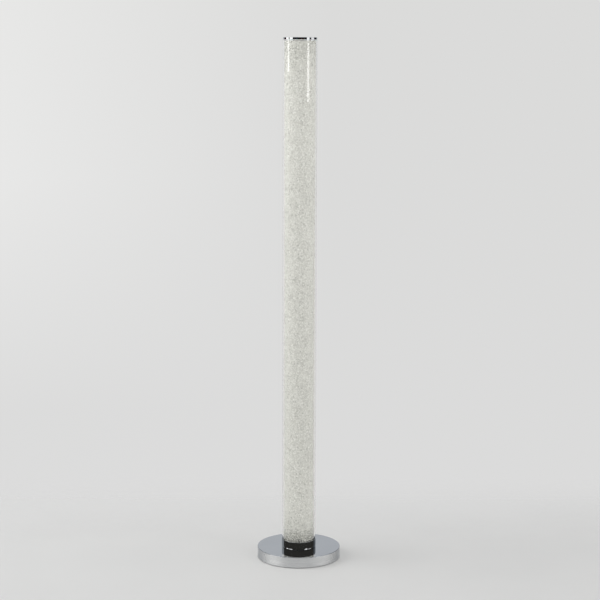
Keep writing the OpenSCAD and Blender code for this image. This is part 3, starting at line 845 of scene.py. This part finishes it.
def softbox(name, azimuth, wide, bottom, top, radiance):
    """A tall soft light that stands round the lamp and faces it. Returns it."""
    data = bpy.data.lights.new(name, "AREA")
    data.shape = "RECTANGLE"
    data.size = 2 * SOFTBOX_DISTANCE * math.tan(math.radians(wide / 2))
    data.size_y = top - bottom
    data.energy = radiance * math.pi * data.size * data.size_y
    light = bpy.data.objects.new(name, data)
    turn = math.radians(azimuth)
    light.location = (SOFTBOX_DISTANCE * math.sin(turn), -SOFTBOX_DISTANCE * math.cos(turn),
                      (top + bottom) / 2)
    light.rotation_euler = (math.radians(90), 0, turn)
    light.visible_camera = False
    scene.collection.objects.link(light)
    return light


FLOOR_REACH = 2.6           # in m, as the next three are
FLOOR_DROP = 0.0002         # how far the floor lies under the pad, so that they don't touch
FLOOR_FADE = (0.6, 1.9)     # distances from the lamp between which the floor fades out
REAR_FADE = (0.08, 0.75)    # and those between which it does so behind the lamp


def lay_floor():
    """Pale paper sweep: matte, with a faint mottle. It fades out into the backdrop behind the lamp, and
    far from it on all sides."""
    material, tree = blank("paper_sweep")
    mottle = grain(tree, 120)
    tone = add(tree, "ShaderNodeValToRGB", {"Fac": mottle}, [(0.3, "#DBDBDA"), (0.7, "#DDDDDC")])
    skin = dressed(tree, tone, mottle, (0.6, 0.66), grain(tree, 2), 0.02, 0.3)
    place = add(tree, "ShaderNodeTexCoord").outputs["Object"]
    far = add(tree, "ShaderNodeVectorMath", {0: place}, operation="LENGTH")
    away = add(tree, "ShaderNodeMapRange",
               {"Value": far, "From Min": FLOOR_FADE[0], "From Max": FLOOR_FADE[1]},
               interpolation_type="SMOOTHSTEP")
    behind = add(tree, "ShaderNodeSeparateXYZ", {0: place}).outputs["Y"]
    rear = add(tree, "ShaderNodeMapRange",
               {"Value": behind, "From Min": REAR_FADE[0], "From Max": REAR_FADE[1]},
               interpolation_type="SMOOTHSTEP")
    fade = add(tree, "ShaderNodeMath", {0: away, 1: rear}, operation="MAXIMUM")
    gone = add(tree, "ShaderNodeBsdfTransparent")
    both = add(tree, "ShaderNodeMixShader", {0: fade, 1: skin, 2: gone})
    add(tree, "ShaderNodeOutputMaterial", {"Surface": both})
    mesh = bmesh.new()
    bmesh.ops.create_circle(mesh, cap_ends=True, segments=96, radius=FLOOR_REACH)
    floor = finished("studio_floor", mesh, material)
    for corner in floor.data.vertices:
        corner.co.z = -FLOOR_DROP


# Everything together.

place_camera()
scene.view_settings.view_transform = "Standard"
light_world()
for name, setting in SOFTBOXES.items():
    softbox(name, *setting)

# The key light comes from the left. It lights what is matte, and neither metal nor glass shows it.
key = softbox("softbox_key", *KEY)
key.visible_glossy = False
key.visible_transmission = False
lay_floor()

chrome = chrome_plate_polished()
base_cover_pressed(chrome_plate_on_turned_rim())
collar_spun(chrome)
cap_turned(chrome)
column_tube(acrylic_tube_extruded())
rim_grommet(rubber_moulded_black())
crystal_coat(crystal_granules_crushed())

# The CAD nodes that stay, by finish.
KEPT = {
    cast_iron_primed: ("base_weight",),
    steel_zinc_plated: ("base_plate", "plate_screws", "tie_tube", "flat_washer", "lock_washer"),
    brass_turned: ("terminal_screws", "tie_nut"),
    eva_foam_sheet: ("base_pad",),
    silicone_cut_ring: ("lower_gasket", "upper_gasket"),
    nylon_moulded: ("lower_plug", "upper_plug", "terminal_block"),
    acrylic_liner_frosted: ("crystal_sleeve",),
    aluminium_extruded: ("led_core",),
    circuit_board_solder_masked: ("feed_board", "led_strip_rear", "led_strip_left", "led_strip_right"),
    led_phosphor_potted: ("leds_rear", "leds_left", "leds_right"),
    pvc_wire_extruded: ("strip_leads",),
}
for finish, nodes in KEPT.items():
    material = finish()
    for node in nodes:
        cad[node].data.materials.clear()
        cad[node].data.materials.append(material)
